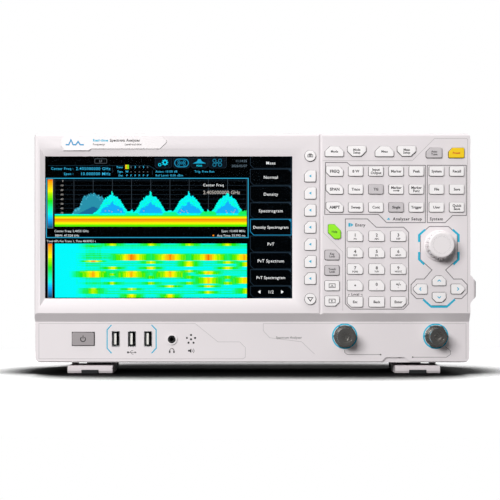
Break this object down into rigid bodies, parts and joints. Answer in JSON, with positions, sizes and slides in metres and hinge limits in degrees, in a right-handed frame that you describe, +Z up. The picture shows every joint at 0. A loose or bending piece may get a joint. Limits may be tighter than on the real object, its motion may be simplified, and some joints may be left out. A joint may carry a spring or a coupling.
{
  "type": "spectrum analyzer",
  "caption": "Bench spectrum analyzer with a touch screen, soft-key column, key panel, tuning knob, front sockets, tilt legs and a pull-up handle.",
  "frame": {"origin": "centre of the overall box in plan, on the desk surface under the feet", "axes": "+X to the right seen from the front, +Y from the front face to the back, +Z up"},
  "size_m": [0.41, 0.135, 0.224],
  "materials": {
    "shell": "fine moulded texture",
    "cover": "fine moulded texture",
    "plate": "satin moulding",
    "glass": "polished, touch screen",
    "panel_steel": "bright zinc-plated sheet",
    "display": "lit screen",
    "board": "solder-masked laminate",
    "silicone": "matt",
    "fan_plastic": "moulded, fine texture",
    "knob_plastic": "satin moulding",
    "nickel": "nickel plated",
    "socket_steel": "plated",
    "black_plastic": "moulded",
    "rubber": "matt",
    "screw": "zinc plated",
    "cable_copper": "tinned copper jacket",
    "leg_plastic": "fine moulded texture",
    "handle_plastic": "soft-touch",
    "key_white": "satin moulding, printed",
    "key_grey": "satin moulding, printed",
    "key_green": "translucent, printed",
    "key_yellow": "translucent, printed"
  },
  "bodies": {
    "case": {"front_bezel": "shell", "badge_plate": "plate", "display_glass": "glass", "lcd_module": "display", "rear_cover": "cover", "rear_panel": "panel_steel", "chassis_tray": "panel_steel", "main_board": "board", "rf_modules": "socket_steel", "power_supply": "panel_steel", "fan_frame": "fan_plastic", "key_board": "board", "key_mat": "silicone", "encoder": "socket_steel", "rf_input_connector": "nickel", "generator_output_connector": "nickel", "usb_sockets": "socket_steel", "headphone_jack": "black_plastic", "speaker": "black_plastic", "bnc_connectors": "nickel", "data_sockets": "socket_steel", "mains_inlet": "black_plastic", "rear_feet": "rubber", "case_screws": "screw", "rf_cables": "cable_copper", "foot_pins": "screw"},
    "knob": {"knob": "knob_plastic"},
    "fan_rotor": {"fan_rotor": "fan_plastic"},
    "left_leg": {"left_foot": "leg_plastic", "left_foot_pad": "rubber"},
    "right_leg": {"right_foot": "leg_plastic", "right_foot_pad": "rubber"},
    "handle": {"carry_handle": "handle_plastic"},
    "power_button": {"power_button": "key_grey"},
    "capture_key": {"capture_key": "key_white"},
    "page_key": {"page_key": "key_white"},
    "softkey_1": {"softkey_1": "key_white"},
    "softkey_2": {"softkey_2": "key_white"},
    "softkey_3": {"softkey_3": "key_white"},
    "softkey_4": {"softkey_4": "key_white"},
    "softkey_5": {"softkey_5": "key_white"},
    "softkey_6": {"softkey_6": "key_white"},
    "softkey_7": {"softkey_7": "key_white"},
    "up_key": {"up_key": "key_white"},
    "down_key": {"down_key": "key_white"},
    "left_key": {"left_key": "key_white"},
    "right_key": {"right_key": "key_white"},
    "help_key": {"help_key": "key_green"},
    "preset_key": {"preset_key": "key_yellow"},
    "auto_tune_key": {"auto_tune_key": "key_grey"},
    "mode_keys": {"mode_keys": "key_white"},
    "meas_keys": {"meas_keys": "key_white"},
    "band_keys": {"band_keys": "key_white"},
    "setup_keys": {"setup_keys": "key_white"},
    "backlit_keys": {"backlit_keys": "key_grey"},
    "system_keys": {"system_keys": "key_white"},
    "lock_keys": {"lock_keys": "key_grey"},
    "screen_keys": {"screen_keys": "key_white"},
    "digit_keys": {"digit_keys": "key_white"},
    "entry_keys": {"entry_keys": "key_white"}
  },
  "joints": [
    {"name": "knob_turn", "type": "hinge", "parent": "case", "child": "knob", "pos_m": [0.1705, -0.0525, 0.1198], "axis": [0, 1, 0], "continuous": true},
    {"name": "fan_spin", "type": "hinge", "parent": "case", "child": "fan_rotor", "pos_m": [0.1215, 0.0525, 0.132], "axis": [0, 1, 0], "continuous": true},
    {"name": "left_leg_swing", "type": "hinge", "parent": "case", "child": "left_leg", "pos_m": [-0.1544, -0.014, 0.0047], "axis": [1, 0, 0], "range_deg": [0, 90]},
    {"name": "right_leg_swing", "type": "hinge", "parent": "case", "child": "right_leg", "pos_m": [0.152, -0.014, 0.0047], "axis": [1, 0, 0], "range_deg": [0, 90]},
    {"name": "handle_lift", "type": "slide", "parent": "case", "child": "handle", "axis": [0, 0, 1], "range_m": [0, 0.035]},
    {"name": "power_button_press", "type": "slide", "parent": "case", "child": "power_button", "axis": [0, 1, 0], "range_m": [0, 0.0012], "stiffness_N_per_m": 1500},
    {"name": "capture_key_press", "type": "slide", "parent": "case", "child": "capture_key", "axis": [0, 1, 0], "range_m": [0, 0.0012], "stiffness_N_per_m": 1500},
    {"name": "page_key_press", "type": "slide", "parent": "case", "child": "page_key", "axis": [0, 1, 0], "range_m": [0, 0.0012], "stiffness_N_per_m": 1500},
    {"name": "softkey_1_press", "type": "slide", "parent": "case", "child": "softkey_1", "axis": [0, 1, 0], "range_m": [0, 0.0012], "stiffness_N_per_m": 1500},
    {"name": "softkey_2_press", "type": "slide", "parent": "case", "child": "softkey_2", "axis": [0, 1, 0], "range_m": [0, 0.0012], "stiffness_N_per_m": 1500},
    {"name": "softkey_3_press", "type": "slide", "parent": "case", "child": "softkey_3", "axis": [0, 1, 0], "range_m": [0, 0.0012], "stiffness_N_per_m": 1500},
    {"name": "softkey_4_press", "type": "slide", "parent": "case", "child": "softkey_4", "axis": [0, 1, 0], "range_m": [0, 0.0012], "stiffness_N_per_m": 1500},
    {"name": "softkey_5_press", "type": "slide", "parent": "case", "child": "softkey_5", "axis": [0, 1, 0], "range_m": [0, 0.0012], "stiffness_N_per_m": 1500},
    {"name": "softkey_6_press", "type": "slide", "parent": "case", "child": "softkey_6", "axis": [0, 1, 0], "range_m": [0, 0.0012], "stiffness_N_per_m": 1500},
    {"name": "softkey_7_press", "type": "slide", "parent": "case", "child": "softkey_7", "axis": [0, 1, 0], "range_m": [0, 0.0012], "stiffness_N_per_m": 1500},
    {"name": "up_key_press", "type": "slide", "parent": "case", "child": "up_key", "axis": [0, 1, 0], "range_m": [0, 0.0012], "stiffness_N_per_m": 1500},
    {"name": "down_key_press", "type": "slide", "parent": "case", "child": "down_key", "axis": [0, 1, 0], "range_m": [0, 0.0012], "stiffness_N_per_m": 1500},
    {"name": "left_key_press", "type": "slide", "parent": "case", "child": "left_key", "axis": [0, 1, 0], "range_m": [0, 0.0012], "stiffness_N_per_m": 1500},
    {"name": "right_key_press", "type": "slide", "parent": "case", "child": "right_key", "axis": [0, 1, 0], "range_m": [0, 0.0012], "stiffness_N_per_m": 1500},
    {"name": "help_key_press", "type": "slide", "parent": "case", "child": "help_key", "axis": [0, 1, 0], "range_m": [0, 0.0012], "stiffness_N_per_m": 1500},
    {"name": "preset_key_press", "type": "slide", "parent": "case", "child": "preset_key", "axis": [0, 1, 0], "range_m": [0, 0.0012], "stiffness_N_per_m": 1500},
    {"name": "auto_tune_key_press", "type": "slide", "parent": "case", "child": "auto_tune_key", "axis": [0, 1, 0], "range_m": [0, 0.0012], "stiffness_N_per_m": 1500},
    {"name": "mode_keys_press", "type": "slide", "parent": "case", "child": "mode_keys", "axis": [0, 1, 0], "range_m": [0, 0.0012], "stiffness_N_per_m": 1500},
    {"name": "meas_keys_press", "type": "slide", "parent": "case", "child": "meas_keys", "axis": [0, 1, 0], "range_m": [0, 0.0012], "stiffness_N_per_m": 1500},
    {"name": "band_keys_press", "type": "slide", "parent": "case", "child": "band_keys", "axis": [0, 1, 0], "range_m": [0, 0.0012], "stiffness_N_per_m": 1500},
    {"name": "setup_keys_press", "type": "slide", "parent": "case", "child": "setup_keys", "axis": [0, 1, 0], "range_m": [0, 0.0012], "stiffness_N_per_m": 1500},
    {"name": "backlit_keys_press", "type": "slide", "parent": "case", "child": "backlit_keys", "axis": [0, 1, 0], "range_m": [0, 0.0012], "stiffness_N_per_m": 1500},
    {"name": "system_keys_press", "type": "slide", "parent": "case", "child": "system_keys", "axis": [0, 1, 0], "range_m": [0, 0.0012], "stiffness_N_per_m": 1500},
    {"name": "lock_keys_press", "type": "slide", "parent": "case", "child": "lock_keys", "axis": [0, 1, 0], "range_m": [0, 0.0012], "stiffness_N_per_m": 1500},
    {"name": "screen_keys_press", "type": "slide", "parent": "case", "child": "screen_keys", "axis": [0, 1, 0], "range_m": [0, 0.0012], "stiffness_N_per_m": 1500},
    {"name": "digit_keys_press", "type": "slide", "parent": "case", "child": "digit_keys", "axis": [0, 1, 0], "range_m": [0, 0.0012], "stiffness_N_per_m": 1500},
    {"name": "entry_keys_press", "type": "slide", "parent": "case", "child": "entry_keys", "axis": [0, 1, 0], "range_m": [0, 0.0012], "stiffness_N_per_m": 1500}
  ]
}
